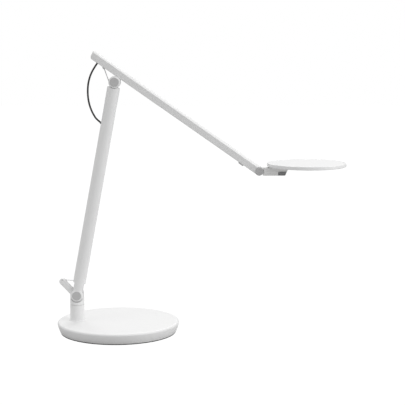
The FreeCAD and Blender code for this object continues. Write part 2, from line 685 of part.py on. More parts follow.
# ---- swivel --------------------------------------------------------------------------------
def make_swivel_head():
    """A round head with a pocket on each side for the arm's round cheeks and a slot for the lever."""
    column = cylinder("post_radius", "knuckle_round + pivot_height - head_base", "0", "0",
                      "head_base - pivot_height")
    stem = slab("-post_radius - over", "head_base - pivot_height", "2 * (post_radius + over)",
                "pivot_height - head_base", "post_radius + over")
    dome = across("knuckle_round", "post_radius + over")
    head = common(column, fuse(stem, dome))
    tools = []
    for start in ("tongue_half", "-tongue_half - post_radius"):
        tools.append(cylinder("pocket_radius", "post_radius", "0", start, "0", "y"))
        tools.append(box("-post_radius - over", start, "0", "2 * (post_radius + over)", "post_radius",
                         "knuckle_round + over"))
    tools.append(slab("-post_radius - over", "-lever_root - lever_gap", "2 * (post_radius + over)",
                      "knuckle_round + lever_root + 2", "lever_half_depth + face_gap"))
    tools.append(across("pin_radius + run_gap", "post_radius"))
    tools.append(cylinder("spindle_radius + fit_gap", "spindle_seat", z="head_base - pivot_height"))
    return part("swivel_head", "swivel", cut(head, *tools))


def make_swivel_spindle():
    part("swivel_spindle", "base", tube("spindle_radius", "spindle_bore",
                                        "head_base + spindle_seat - spindle_foot", "post_x", "0",
                                        "spindle_foot"))
    washer_z = "cover_under - face_gap - nut_washer_height"
    part("spindle_washer", "base", tube("nut_washer_radius", "spindle_radius + fit_gap",
                                        "nut_washer_height", "post_x", "0", washer_z))
    prism = doc.addObject("Part::Prism", "prism")
    prism.Polygon = 6
    prism.setExpression("Circumradius", bound("nut_radius"))
    prism.setExpression("Height", bound("nut_height"))
    prism.setExpression("Placement", place("post_x", "0", washer_z + " - nut_height"))
    bore = cylinder("spindle_radius + fit_gap", "nut_height", "post_x", "0", washer_z + " - nut_height")
    part("spindle_nut", "base", cut(prism, bore))


def make_balance_lever():
    """A flat lever with a round root about the pivot and a slotted tip that holds the wire's pin."""
    body = new_body()
    side = new_sketch(body, "XZ_Plane")
    left, right = "lever_offset - lever_half_width", "lever_offset + lever_half_width"
    outline(side, [
        (right, "0"),
        (right, "lever_length"),
        ("lever_offset", "lever_length + lever_half_width", "lever_half_width"),
        (left, "lever_length", "lever_half_width"),
        (left, "0"),
    ])
    pad(body, side, "2 * lever_half_depth", middle=True)
    depth = number("lever_half_depth")

    def is_rim(edge):
        middle = edge.CenterOfMass
        return abs(abs(middle.y) - depth) < 1e-4 and middle.z > 1

    fillet(body, edges_where(body, is_rim), "lever_round")
    root = rounded_disc("lever_root", "lever_half_depth", "lever_round")
    slot = slab("lever_pin_x - wire_eye - run_gap", "lever_pin_z - lever_slot_depth",
                "2 * lever_half_width", "lever_slot_depth + lever_half_width", "lever_slot_half")
    bores = [across("pin_radius + run_gap", "lever_half_depth"),
             across("lever_pin_radius + fit_gap", "lever_half_depth", "lever_pin_x", "lever_pin_z")]
    return part("balance_lever", "lever", cut(fuse(body, root), slot, *bores))


def make_lever_pin():
    return part("lever_pin", "lever", across("lever_pin_radius", "lever_half_depth - lever_round",
                                             "lever_pin_x", "lever_pin_z"))


# ---- lower arm -----------------------------------------------------------------------------
def make_lower_arm_fork():
    """The cast lower end: a round forked end that straddles the swivel head, and a spigot."""
    foot = rounded_disc("arm_half_width", "arm_half_depth", "end_round")
    bar = oval("arm_half_width", "arm_half_depth", "0", "fork_top")
    plug = oval("arm_half_width - arm_wall - fit_gap", "arm_half_depth - arm_wall - fit_gap",
                "fork_top", "spigot")
    tools = [
        slab("-arm_half_width - over", "-arm_half_width - over", "2 * (arm_half_width + over)",
             "arm_half_width + over + slot_depth", "slot_half"),
        slab("-arm_half_width - over", "slot_depth - over", "arm_half_width + over",
             "wire_entry + wire_slot_rise - slot_depth + over", "wire_slot_half"),
        across("pin_radius + fit_gap", "arm_half_depth"),
        cylinder("channel_radius", "fork_top + spigot - slot_depth + 2 * over", z="slot_depth - over"),
        across("roller_pin_radius + fit_gap", "cap_seat", "roller_x", "roller_z"),
    ]
    for start in ("cap_seat", "-arm_half_depth - over"):
        tools.append(cylinder("cap_radius + fit_gap", "cap_sink + over", "0", start, "0", "y"))
    return part("lower_arm_fork", "lower", cut(fuse(foot, bar, plug), *tools))


def grommet_rod(radius, outside, inside):
    """A slanted rod through the lower arm's wall, on the line of the cord's entry."""
    rod = doc.addObject("Part::Cylinder", "rod")
    rod.setExpression("Radius", bound(radius))
    rod.setExpression("Height", bound(f"{outside} + {inside}"))
    mouth = place("-arm_half_width", "0", "grommet_place", "grommet_turn")
    back = bound(f"-({outside})")
    rod.setExpression("Placement", f"{mouth} * placement(vector(0;0;{back});{no_turn})")
    return rod


def make_lower_arm_tube():
    length = "tube_top - fork_top"
    skin = cut(oval("arm_half_width", "arm_half_depth", "fork_top", length),
               oval("arm_half_width - arm_wall", "arm_half_depth - arm_wall", "fork_top", length))
    hole = grommet_rod("grommet_radius + fit_gap", "rod_over", "grommet_depth + 2 * over")
    part("lower_arm_tube", "lower", cut(skin, hole))
    part("lower_grommet", "lower", cut(grommet_rod("grommet_radius", "grommet_reach", "grommet_depth"),
                                       grommet_rod("cord_radius + run_gap", "rod_over", "grommet_depth + 2 * over")))


def make_elbow_knuckle():
    """The cast upper end: shoulders hollowed round the elbow and a round tongue between them."""
    bar = oval("arm_half_width", "arm_half_depth", "tube_top", "shoulder - tube_top")
    plug = oval("arm_half_width - arm_wall - fit_gap", "arm_half_depth - arm_wall - fit_gap",
                "tube_top - spigot", "spigot")
    tools = []
    for start in ("tongue_half", "-tongue_half - arm_half_depth"):
        tools.append(cylinder("elbow_pocket", "arm_half_depth", "0", start, "lower_length", "y"))
    shoulders = cut(fuse(bar, plug), *tools)
    tongue = fuse(slab("-tongue_radius", "shoulder - tongue_root", "2 * tongue_radius",
                       "shoulder_drop + tongue_root", "tongue_half"),
                  across("tongue_radius", "tongue_half", "0", "lower_length"))
    holes = [
        across("pin_radius + run_gap", "arm_half_depth", "0", "lower_length"),
        cylinder("channel_radius",
                 "knuckle_drop + spigot - wire_anchor_drop + ferrule_radius + wire_play", "0", "0",
                 "tube_top - spigot"),
    ]
    ball, hole_end = elbow_wire_line()
    way_length = (hole_end - ball).Length + number("way_over")
    way = Part.makeCylinder(number("wire_way"), way_length, ball, hole_end - ball)
    holes.append(solid(way, "lower"))
    return part("elbow_knuckle", "lower", cut(fuse(shoulders, tongue), *holes))


# ---- pins, caps, wires and springs ---------------------------------------------------------
def solid(shape, frame="base"):
    """A shape made in the lamp's coordinates, as an object in a frame's own coordinates."""
    x, z, lean = (number(item) for item in frame_places[frame])
    piece = doc.addObject("Part::Feature", "piece")
    piece.Shape = shape
    piece.Placement = FreeCAD.Placement(V(x, 0, z), FreeCAD.Rotation(V(0, 1, 0), lean)).inverse()
    return piece


def tangent_wire(start, centre, radius, finish, side):
    """A path that runs straight to a roller, round it and straight on: its lines and its arc.
    A side of 1 goes round the roller against the clock, seen from the front, and -1 the other way."""
    angles = []
    for spot, sign in ((start, side), (finish, -side)):
        away = spot - centre
        angles.append(math.atan2(away.z, away.x) + sign * math.acos(radius / away.Length))
    first, last = angles
    while (last - first) * side < 0:
        last += side * 2 * math.pi

    def rim(angle):
        return centre + V(math.cos(angle), 0, math.sin(angle)) * radius

    bend = Part.Arc(rim(first), rim((first + last) / 2), rim(last))
    return Part.Wire([Part.LineSegment(start, rim(first)).toShape(), bend.toShape(),
                      Part.LineSegment(rim(last), finish).toShape()])


def round_sweep(path, radius):
    """A round bar along a path."""
    start = path.Edges[0]
    heading = start.tangentAt(start.FirstParameter)
    profile = Part.Wire(Part.makeCircle(radius, start.valueAt(start.FirstParameter), heading))
    return path.makePipeShell([profile], True, False)


def elbow_wire_line():
    """The ball of the elbow wire and the point where the wire first touches its roller."""
    ball = world("lower", "wire_anchor_x", "lower_length - wire_anchor_drop")
    centre = world("upper", "upper_roller_x", "upper_roller_z")
    finish = world("upper", "upper_spring_start", "upper_spring_rise")
    path = tangent_wire(ball, centre, number("wrap_radius"), finish, -1)
    return ball, path.Edges[0].lastVertex().Point


def make_base_wire():
    """The wire from the lever's pin, under a roller and up to the spring."""
    pin = world("lever", "lever_pin_x", "lever_pin_z")
    centre = world("lower", "roller_x", "roller_z")
    finish = world("lower", "spring_shift", "spring_start + end_plate + ferrule_radius")
    path = tangent_wire(pin, centre, number("wrap_radius"), finish, 1)
    heading = path.Edges[0].tangentAt(0)
    eye_half = number("lever_slot_half - run_gap")
    radius = number("wire_radius")
    outer, inner = number("wire_eye"), number("lever_pin_radius + run_gap")
    start = pin + heading * ((outer + inner) / 2)
    across_start = pin - V(0, eye_half, 0)
    eye = Part.makeCylinder(outer, 2 * eye_half, across_start, V(0, 1, 0))
    hole = Part.makeCylinder(inner, 2 * eye_half, across_start, V(0, 1, 0))
    path = tangent_wire(start, centre, number("wrap_radius"), finish, 1)
    ball = Part.makeSphere(number("ferrule_radius"), finish)
    shape = round_sweep(path, radius).fuse([eye.cut(hole), ball])
    part("base_wire", "base", solid(shape))


def make_elbow_wire():
    """The wire from its ball in the lower arm, through the bushing and round the upper roller."""
    ball, _ = elbow_wire_line()
    centre = world("upper", "upper_roller_x", "upper_roller_z")
    finish = world("upper", "upper_spring_start + end_plate + ferrule_radius", "upper_spring_rise")
    path = tangent_wire(ball, centre, number("wrap_radius"), finish, -1)
    ends = [Part.makeSphere(number("ferrule_radius"), spot) for spot in (ball, finish)]
    part("elbow_wire", "base", solid(round_sweep(path, number("wire_radius")).fuse(ends)))


def make_spring(label, frame, radius, bore, start, length, offset, seat=None):
    """A closed balance spring as its outer sleeve, with an end plate at each end."""
    sleeve = cylinder(radius, length, offset, "0", start)
    hollow = cylinder(bore, f"{length} - 2 * end_plate", offset, "0", f"{start} + end_plate")
    hole = cylinder("wire_radius + wire_play", "2 * end_plate", offset, "0", f"{start} - end_plate / 2")
    return part(label, frame, cut(sleeve, hollow, hole), seat)


def make_roller(label, frame, x, z):
    body = new_body()
    section = new_sketch(body, "XZ_Plane")
    bore = "roller_pin_radius + run_gap"
    outline(section, [
        (bore, "-roller_half"),
        ("roller_flange", "-roller_half"),
        ("roller_radius", "-wire_radius"),
        ("roller_radius", "wire_radius"),
        ("roller_flange", "roller_half"),
        (bore, "roller_half"),
    ])
    revolve(body, section)
    return part(label, frame, body, place(x, "0", z, "-90", (1, 0, 0)))


def make_lower_arm_inside():
    caps = cap_pair("cap_radius", "cap_thickness", "cap_seat")
    part("base_caps", "lower", caps)
    part("base_pin", "lower", across("pin_radius", "cap_seat"))
    make_roller("wire_roller", "lower", "roller_x", "roller_z")
    part("roller_pin", "lower", across("roller_pin_radius", "cap_seat", "roller_x", "roller_z"))
    make_spring("base_spring", "lower", "spring_radius", "spring_bore", "spring_start",
                "spring_length", "spring_shift")
    plate = oval("arm_half_width - arm_wall - fit_gap", "arm_half_depth - arm_wall - fit_gap",
                 "anchor_place", "anchor_thickness")
    way = cylinder("anchor_way", "anchor_thickness", "-arm_half_width / 2", "0", "anchor_place")
    top = "spring_start + spring_length"
    stud = cylinder("stud_radius", f"anchor_place - ({top})", "spring_shift", "0", top)
    part("base_spring_anchor", "lower", fuse(cut(plate, way), stud))


# ---- upper arm -----------------------------------------------------------------------------
def arm_section(sketch, inset):
    """The upper arm's section: a narrow flat floor, leaning sides and a rounded crown."""
    foot, side = f"floor_half - ({inset})", f"side_half - ({inset})"
    floor, edge = f"arm_floor + {inset}", f"crown_edge - ({inset})"
    crown = f"(({side}) * ({side}) + crown_rise * crown_rise) / (2 * crown_rise)"
    outline(sketch, [
        (f"-({foot})", floor),
        (foot, floor),
        (side, edge),
        (f"-({side})", edge, crown),
    ])


def arm_bar(start, length, inset="0"):
    """A length of the upper arm's section, with the rounded lower edges on the full-size one."""
    body = new_body()
    section = new_sketch(body, "YZ_Plane", start)
    arm_section(section, inset)
    pad(body, section, length)
    if inset == "0":
        floor, foot = number("arm_floor"), number("floor_half")

        def is_lower_edge(edge):
            middle = edge.CenterOfMass
            return abs(middle.z - floor) < 1e-4 and abs(abs(middle.y) - foot) < 1e-4

        fillet(body, edges_where(body, is_lower_edge), "floor_round")
    return body


def make_upper_arm_shell():
    body = arm_bar("-tail_start", "tail_start + shell_end")
    hollow = new_sketch(body, "YZ_Plane", "shell_end")
    arm_section(hollow, "shell_wall")
    pocket(body, hollow, "tail_start + shell_end")
    tools = [
        cylinder("grommet_radius + fit_gap", "3 * shell_wall", "-cord_place", "0",
                 "arm_floor - shell_wall"),
        slab("upper_anchor_place - plug_half - fit_gap", "arm_floor - shell_wall",
             "2 * (plug_half + fit_gap)", "3 * shell_wall", "plug_half_width + fit_gap"),
        across("roller_pin_radius + fit_gap", "upper_roller_seat", "upper_roller_x",
               "upper_roller_z"),
        bushing_rod("bushing_radius + fit_gap", "rod_over - over", "rod_over - over"),
    ]
    for side in ("-", ""):
        tools.append(cylinder("screw_radius + fit_gap", "3 * shell_wall",
                              side + "bracket_screw_place", "0", "arm_floor - shell_wall"))
    return part("upper_arm_shell", "upper", cut(body, *tools))


def make_tail_cap():
    """The closed tail: the arm's section, trimmed by its side outline and by its outline from
    above, with a lip that fits inside the arm."""
    bar = arm_bar("-tail_end - over", "tail_end - tail_start + over")
    side = new_body()
    profile = new_sketch(side, "XZ_Plane")
    upper_round = "tail_upper_round + trim_over"
    outline(profile, [
        ("-tail_start", "arm_floor"),
        ("-tail_end + tail_slant + tail_lower_round", "arm_floor"),
        ("-tail_end + tail_slant", "arm_floor + tail_lower_round", "-tail_lower_round"),
        ("-tail_end", "arm_roof - tail_upper_round"),
        (f"-tail_end + {upper_round}", "arm_roof + trim_over", f"-({upper_round})"),
        ("-tail_start", "arm_roof + trim_over"),
    ])
    pad(side, profile, "3 * side_half", middle=True)
    plan = new_body()
    profile = new_sketch(plan, "XY_Plane")
    wide = "side_half + trim_over"
    outline(profile, [
        ("-tail_start", wide),
        ("-tail_end + tail_side_round", wide),
        ("-tail_end", f"{wide} - tail_side_round", "tail_side_round"),
        ("-tail_end", f"-({wide}) + tail_side_round"),
        ("-tail_end + tail_side_round", f"-({wide})", "tail_side_round"),
        ("-tail_start", f"-({wide})"),
    ])
    pad(plan, profile, "2 * arm_roof")
    lip = arm_bar("-tail_start", "tail_lip", "shell_wall + fit_gap")
    return part("tail_cap", "upper", fuse(common(bar, side, plan), lip))


def bushing_rod(radius, outside, inside):
    """A rod on the line of the elbow wire where it passes the upper arm's floor."""
    ball, touch = elbow_wire_line()
    heading = (touch - ball).normalize()
    floor = world("upper", "0", "arm_floor")
    up = world("upper", "0", "arm_floor + 1") - floor
    mouth = ball + heading * ((floor - ball).dot(up) / heading.dot(up))
    start = mouth - heading * number(outside)
    rod = Part.makeCylinder(number(radius), number(f"{outside} + {inside}"), start, heading)
    return solid(rod, "upper")


def make_upper_fittings():
    grommet = tube("grommet_radius", "cord_radius + run_gap", "grommet_reach + grommet_depth",
                   "-cord_place", "0", "arm_floor - grommet_reach")
    part("upper_grommet", "upper", grommet)
    part("wire_bushing", "upper", cut(bushing_rod("bushing_radius", "boss_reach", "bushing_depth"),
                                      bushing_rod("wire_way", "rod_over", "rod_over")))
    make_roller("elbow_roller", "upper", "upper_roller_x", "upper_roller_z")
    part("elbow_roller_pin", "upper", across("roller_pin_radius", "upper_roller_seat",
                                             "upper_roller_x", "upper_roller_z"))
    make_spring("elbow_spring", "upper", "upper_spring_radius", "upper_spring_bore", "0",
                "upper_spring_length", "0",
                place("upper_spring_start", "0", "upper_spring_rise", "90"))
    inside = "arm_floor + shell_wall"
    block = slab("upper_anchor_place - plug_half", inside, "2 * plug_half",
                 f"upper_spring_rise + anchor_rise - ({inside})", "floor_half - shell_wall - fit_gap")
    end = "upper_spring_start + upper_spring_length"
    stud = cylinder("stud_radius", f"upper_anchor_place - plug_half + over - ({end})", end, "0",
                    "upper_spring_rise", "x")
    part("elbow_spring_anchor", "upper", fuse(block, stud))
    plug = slab("upper_anchor_place - plug_half", "arm_floor - plug_drop", "2 * plug_half",
                "plug_drop + shell_wall", "plug_half_width")
    part("anchor_plug", "upper", plug)


def make_elbow_bracket():
    """Two round cheeks joined by a neck under the upper arm, held by two screws from below."""
    cheeks = rounded_disc("cheek_radius", "cheek_half_depth", "cheek_round")
    neck = slab("-neck_half", "0", "2 * neck_half", "arm_floor", "neck_half_depth")
    tools = [
        across("tongue_radius + pocket_gap / 2", "slot_half"),
        slab("-cheek_radius - over", "-cheek_radius - over", "2 * (cheek_radius + over)",
             "cheek_radius + over + neck_clear", "slot_half"),
        slab("-cheek_radius", "arm_floor", "2 * cheek_radius", "cheek_radius", "slot_half"),
        across("pin_radius + fit_gap", "cheek_half_depth"),
    ]
    for start in ("elbow_cap_seat", "-cheek_half_depth - over"):
        tools.append(cylinder("cap_radius + fit_gap", "cap_sink + over", "0", start, "0", "y"))
    screws = []
    screw_top = "arm_floor + shell_wall + nut_plate_height - screw_short"
    shank_start = "bracket_head + bracket_head_height"
    for side in ("-", ""):
        x = side + "bracket_screw_place"
        tools.append(cone("bracket_head_radius + fit_gap", "screw_radius + fit_gap",
                          "bracket_head_height", x, "0", "bracket_head"))
        tools.append(cylinder("bracket_head_radius + fit_gap", "bracket_head", x))
        tools.append(cylinder("screw_radius + fit_gap", "arm_floor", x, "0", shank_start))
        head = cone("bracket_head_radius", "screw_radius", "bracket_head_height", x, "0",
                    "bracket_head")
        screws.append(fuse(head, cylinder("screw_radius", f"{screw_top} - ({shank_start})", x, "0",
                                          shank_start)))
    part("elbow_bracket", "upper", cut(fuse(cheeks, neck), *tools))
    part("bracket_screws", "upper", group(*screws))
    holes = [cylinder("screw_radius + fit_gap", "2 * nut_plate_height", side + "bracket_screw_place",
                      "0", "arm_floor") for side in ("-", "")]
    nut_plate = slab("-nut_plate_half", "arm_floor + shell_wall", "2 * nut_plate_half",
                     "nut_plate_height", "floor_half - shell_wall - fit_gap")
    part("bracket_nut_plate", "upper", cut(nut_plate, *holes))
    part("elbow_caps", "upper", cap_pair("cap_radius", "cap_thickness", "elbow_cap_seat"))
    part("elbow_pin", "upper", across("pin_radius", "elbow_cap_seat"))


def make_arm_end_fork():
    """The cast end of the upper arm: a round end with a slot for the neck's tongue."""
    bar = arm_bar("shell_end", "hinge_reach - shell_end - bar_stop")
    spigot = arm_bar("shell_end - upper_spigot", "upper_spigot", "shell_wall + fit_gap")
    barrel = across("barrel_radius", "barrel_half", "hinge_reach", "hinge_rise")
    wide = "hinge_tongue_half + side_gap"
    tools = [
        across("barrel_radius - 0.1", wide, "hinge_reach", "hinge_rise"),
        slab("hinge_reach - hinge_slot_back", "arm_floor - over", "hinge_slot_back + 2 * barrel_radius",
             "arm_height + 2 * over", wide),
        across("hinge_pin_radius + fit_gap", "barrel_half", "hinge_reach", "hinge_rise"),
    ]
    for start in ("hinge_cap_seat", "-barrel_half - over"):
        tools.append(cylinder("hinge_cap_radius + fit_gap", "hinge_cap_sink + over", "hinge_reach",
                              start, "hinge_rise", "y"))
    part("arm_end_fork", "upper", cut(fuse(bar, barrel, spigot), *tools))
    part("hinge_pin", "head", across("hinge_pin_radius", "hinge_cap_seat"))
    part("hinge_caps", "head", cap_pair("hinge_cap_radius", "hinge_cap_thickness",
                                        "hinge_cap_seat"))


# ---- neck and dimmer -----------------------------------------------------------------------
def button_shape(gap, front, depth):
    """The button's outline, with one slanted end, pushed back from a distance in front."""
    body = new_body()
    sketch = new_sketch(body, "XZ_Plane", f"{front} - ({depth})")
    outline(sketch, [
        (f"button_start - {gap}", f"button_floor - {gap}"),
        (f"button_end_low + {gap}", f"button_floor - {gap}"),
        (f"button_end + {gap}", f"button_roof + {gap}"),
        ("button_start + button_round", f"button_roof + {gap}"),
        (f"button_start - {gap}", "button_roof - button_round", f"button_round + {gap}"),
    ])
    pad(body, sketch, depth)
    return body


def make_neck():
    body = new_body()
    side = new_sketch(body, "XZ_Plane")
    reach = "(barrel_radius + barrel_gap)"
    rise = f"sqrt({reach} * {reach} - neck_start * neck_start)"
    outline(side, [
        ("neck_start", f"-{rise}", f"-{reach}"),
        ("neck_start", "neck_floor"),
        ("neck_end_low - neck_corner", "neck_floor"),
        ("neck_end_low", "neck_floor + neck_corner", "neck_corner"),
        ("neck_end", "neck_shoulder"),
        ("neck_end", "neck_roof"),
        ("neck_start", "neck_roof"),
        ("neck_start", rise),
    ])
    pad(body, side, "2 * neck_half_width", middle=True)
    half, start = number("neck_half_width"), number("neck_start")

    def is_side_edge(edge):
        middle = edge.CenterOfMass
        return abs(abs(middle.y) - half) < 1e-4 and middle.x > start + 2

    fillet(body, edges_where(body, is_side_edge), "neck_edge")
    tongue = fuse(across("hinge_tongue_radius", "hinge_tongue_half"),
                  slab("0", "-hinge_tongue_root", "barrel_radius + hinge_tongue_bite", "2 * hinge_tongue_root",
                       "hinge_tongue_half"))
    tools = [
        across("hinge_pin_radius + run_gap", "hinge_tongue_half"),
        button_shape("button_gap", "neck_half_width + over", "button_well + over"),
    ]
    screws = []
    for x in ("head_screw_first", "head_screw_second"):
        tools.append(cylinder("head_radius + fit_gap", "head_screw_seat - neck_floor", x, "0",
                              "neck_floor"))
        tools.append(cylinder("screw_radius + fit_gap", "neck_roof", x, "0", "head_screw_seat"))
        head = cylinder("head_radius", "head_screw_head", x, "0",
                        "head_screw_seat - head_screw_head")
        screws.append(fuse(head, cylinder("screw_radius", "head_screw_length", x, "0",
                                          "head_screw_seat")))
    part("neck_housing", "head", cut(fuse(body, tongue), *tools))
    part("head_screws", "head", group(*screws))


def make_dimmer():
    button = button_shape("0", "neck_half_width + button_proud", "button_depth")
    part("dimmer_button", "head", button)
    back = "-neck_half_width + button_well"
    board = box("button_start + board_inset", f"{back} - board_thickness",
                "(button_floor + button_roof - board_height) / 2", "board_length",
                "board_thickness", "board_height")
    switch = box("button_start + board_inset + (board_length - switch_size) / 2",
                 f"{back} - board_thickness - switch_height",
                 "(button_floor + button_roof - switch_size) / 2", "switch_size",
                 "switch_height", "switch_size")
    part("dimmer_board", "head", fuse(board, switch))


# ---- head ----------------------------------------------------------------------------------
def seat_block(gap, floor, height):
    """The raised seat between the neck and the head's lid, or the room around it."""
    return slab(f"pad_start - {gap}", floor, f"neck_end - pad_start + 2 * {gap}", height,
                f"neck_half_width - seat_inset + {gap}")


def make_head_shell():
    body = new_body()
    section = new_sketch(body, "XZ_Plane")
    outline(section, [
        ("0", "lid_under"),
        ("rim_bore", "lid_under"),
        ("rim_bore", "disc_floor"),
        ("disc_radius - disc_lower_round", "disc_floor"),
        ("disc_radius", "disc_floor + disc_lower_round", "disc_lower_round"),
        ("disc_radius", "disc_top - disc_upper_round"),
        ("disc_radius - disc_upper_round", "disc_top", "disc_upper_round"),
        ("disc_radius - rim_width", "disc_top"),
        ("disc_radius - rim_width - lid_slope", "lid_face"),
        ("0", "lid_face"),
    ])
    revolve(body, section)
    body.setExpression("Placement", place("head_centre"))
    seat = seat_block("0", "neck_roof", "lid_under + lid_thickness / 2 - neck_roof")
    holes = [cylinder("screw_radius + fit_gap", "head_screw_length - neck_roof + head_screw_seat",
                      x, "0", "neck_roof") for x in ("head_screw_first", "head_screw_second")]
    part("head_shell", "head", cut(fuse(body, seat), *holes))


def head_layer(label, radius, floor, thickness):
    """A round layer of the head with a notch for the seat."""
    layer = cylinder(radius, thickness, "head_centre", "0", floor)
    part(label, "head", cut(layer, seat_block("seat_gap", "neck_roof", "disc_top")))


def make_head_inside():
    head_layer("reflector", "strip_bore - run_gap", "lid_under - reflector_thickness",
               "reflector_thickness")
    head_layer("light_guide", "strip_bore - run_gap", "guide_floor", "guide_thickness")
    head_layer("diffuser", "rim_bore - fit_gap", "diffuser_top - diffuser_thickness",
               "diffuser_thickness")
    strip = tube("rim_bore - fit_gap", "strip_bore", "lid_under - diffuser_top", "head_centre", "0",
                 "diffuser_top")
    part("light_strip", "head", strip)


# ---- elbow cord ----------------------------------------------------------------------------
def cord_route():
    """The cord's route in X and Z. Both ends are straight and lie on their grommets' lines; the
    points between are chosen by hand."""
    inside = world("upper", "-cord_place", "arm_floor + grommet_depth")
    outside = world("upper", "-cord_place", "arm_floor - cord_lead")
    between = [(-40.4, 424.9), (-44.3, 414.0), (-46.2, 402.3), (-46.3, 390.1), (-44.9, 378.4),
               (-41.6, 367.0), (-36.6, 356.9)]
    mouth = world("lower", "-arm_half_width", "grommet_place")
    line = world("lower", "-arm_half_width + sin(grommet_turn)",
                 "grommet_place + cos(grommet_turn)") - mouth
    route = [inside, outside] + [V(x, 0, z) for x, z in between]
    return route + [mouth - line * number("cord_lead"), mouth + line * number("grommet_depth")]


def rounded_path(route):
    """Straight runs joined by tangent arcs, each as large as its two runs allow."""
    edges, radii = [], []
    last = route[0]
    for before, corner, after in zip(route, route[1:], route[2:]):
        back, ahead = before - corner, after - corner
        half_turn = (math.pi - back.getAngle(ahead)) / 2
        reach = 0.45 * min(back.Length, ahead.Length)
        radii.append(reach / math.tan(half_turn))
        start, end = corner + back.normalize() * reach, corner + ahead.normalize() * reach
        bisector = (back + ahead).normalize()
        middle = corner + bisector * radii[-1] * (1 / math.cos(half_turn) - 1)
        edges += [Part.LineSegment(last, start).toShape(), Part.Arc(start, middle, end).toShape()]
        last = end
    edges.append(Part.LineSegment(last, route[-1]).toShape())
    return Part.Wire(edges), radii


def make_elbow_cord():
    path, radii = rounded_path(cord_route())
    radius = number("cord_radius")
    cord = round_sweep(path, radius)
    print("elbow cord: length", round(path.Length, 1), "radii", [round(item, 1) for item in radii])
    print("elbow cord: volume over section times length",
          round(cord.Volume / (math.pi * radius ** 2 * path.Length), 4))
    part("elbow_cord", "base", solid(cord))


for make in (make_base_cover, make_base_inside, make_power_inlet, make_swivel_bearing,
             make_swivel_head, make_swivel_spindle, make_balance_lever, make_lever_pin,
             make_lower_arm_fork, make_lower_arm_tube, make_elbow_knuckle, make_lower_arm_inside,
             make_base_wire, make_elbow_wire, make_upper_arm_shell, make_tail_cap,
             make_upper_fittings, make_elbow_bracket, make_arm_end_fork, make_neck, make_dimmer,
             make_head_shell, make_head_inside, make_elbow_cord):
    make()
doc.recompute()

failed = [item.Label for item in doc.Objects if {"Invalid", "Error"} & set(item.State)]
broken = [item.Label for item in parts if item.Shape.isNull() or not item.Shape.isValid()]
if failed or broken:
    raise RuntimeError(f"failed objects: {failed}, bad shapes: {broken}")
os.makedirs("parts", exist_ok=True)
for item in parts:
    item.Shape.exportStep(f"parts/{item.Label}.step")
    print(item.Label, len(item.Shape.Solids), round(item.Shape.Volume, 1))
print(len(parts), "sub-parts")
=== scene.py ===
import bmesh
import bpy
import json
import math
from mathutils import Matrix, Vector


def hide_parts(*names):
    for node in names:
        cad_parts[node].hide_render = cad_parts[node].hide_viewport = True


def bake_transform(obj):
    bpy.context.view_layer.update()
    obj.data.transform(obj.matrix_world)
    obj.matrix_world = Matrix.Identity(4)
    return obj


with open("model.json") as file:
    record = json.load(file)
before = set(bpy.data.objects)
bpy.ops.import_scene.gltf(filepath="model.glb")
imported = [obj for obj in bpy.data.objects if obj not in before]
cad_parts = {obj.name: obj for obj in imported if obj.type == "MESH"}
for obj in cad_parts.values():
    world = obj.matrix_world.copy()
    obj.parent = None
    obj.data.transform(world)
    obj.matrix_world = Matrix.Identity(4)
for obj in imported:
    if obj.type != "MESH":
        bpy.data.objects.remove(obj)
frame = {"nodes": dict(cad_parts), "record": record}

scene = bpy.context.scene
nodes = frame["nodes"]
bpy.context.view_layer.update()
print("frame loaded,", len(nodes), "pieces")


# camera: far away and a little above the lamp's middle
cameraView = {
    "place": (0.13893, -2.0692, 0.50005),
    "lookDown": 7.85,    # degrees
    "lens": 113.7,
    "sensor": 36.0,
    "farthest": 30,
}

lens = bpy.data.cameras.new("lampCamera")
lens.lens = cameraView["lens"]
lens.sensor_width = cameraView["sensor"]
lens.clip_end = cameraView["farthest"]
camera = bpy.data.objects.new("lampCamera", lens)
camera.location = cameraView["place"]
camera.rotation_euler = (math.radians(90 - cameraView["lookDown"]), 0, 0)
scene.collection.objects.link(camera)
scene.camera = camera
print("camera placed")


# round bars that follow a route in millimetres: the elbow cord and the two balance wires
barShape = {
    "splineSteps": 10,
    "endRound": 0.3,    # share of the bar's radius
    "ballBands": 8,
    "ballSides": 20,
}


def midPoint(x, z):
    # a point in the lamp's middle plane, in metres
    return (x / 1000, 0, z / 1000)


def smoothLine(route):
    # the points of a smooth spline that has the route for its control points
    curve = bpy.data.curves.new("route", "CURVE")
    curve.dimensions = "3D"
    spline = curve.splines.new("NURBS")
    spline.points.add(len(route) - 1)
    for point, spot in zip(spline.points, route):
        point.co = (*midPoint(*spot), 1)
    spline.order_u = 3
    spline.use_endpoint_u = True
    spline.resolution_u = barShape["splineSteps"]
    holder = bpy.data.objects.new("route", curve)
    scene.collection.objects.link(holder)
    line = bpy.data.meshes.new_from_object(holder)
    points = [vertex.co.copy() for vertex in line.vertices]
    bpy.data.objects.remove(holder)
    bpy.data.curves.remove(curve)
    bpy.data.meshes.remove(line)
    return points


def addRing(mesh, centre, axis, side, radius, sides):
    # a ring of corners about the axis, or a single corner where the radius is 0
    if radius == 0:
        return [mesh.verts.new(centre)]
    up = axis.cross(side).normalized()
    ring = []
    for step in range(sides):
        angle = 2 * math.pi * step / sides
        spoke = side * math.cos(angle) + up * math.sin(angle)
        ring.append(mesh.verts.new(centre + spoke * radius))
    return ring


def bridge(mesh, first, second):
    # the faces between two rings
    sides = max(len(first), len(second))
    for here in range(sides):
        ahead = (here + 1) % sides
        corners = []
        for ring, spot in ((first, here), (second, here), (second, ahead), (first, ahead)):
            corner = ring[spot % len(ring)]
            if corner not in corners:
                corners.append(corner)
        mesh.faces.new(corners)


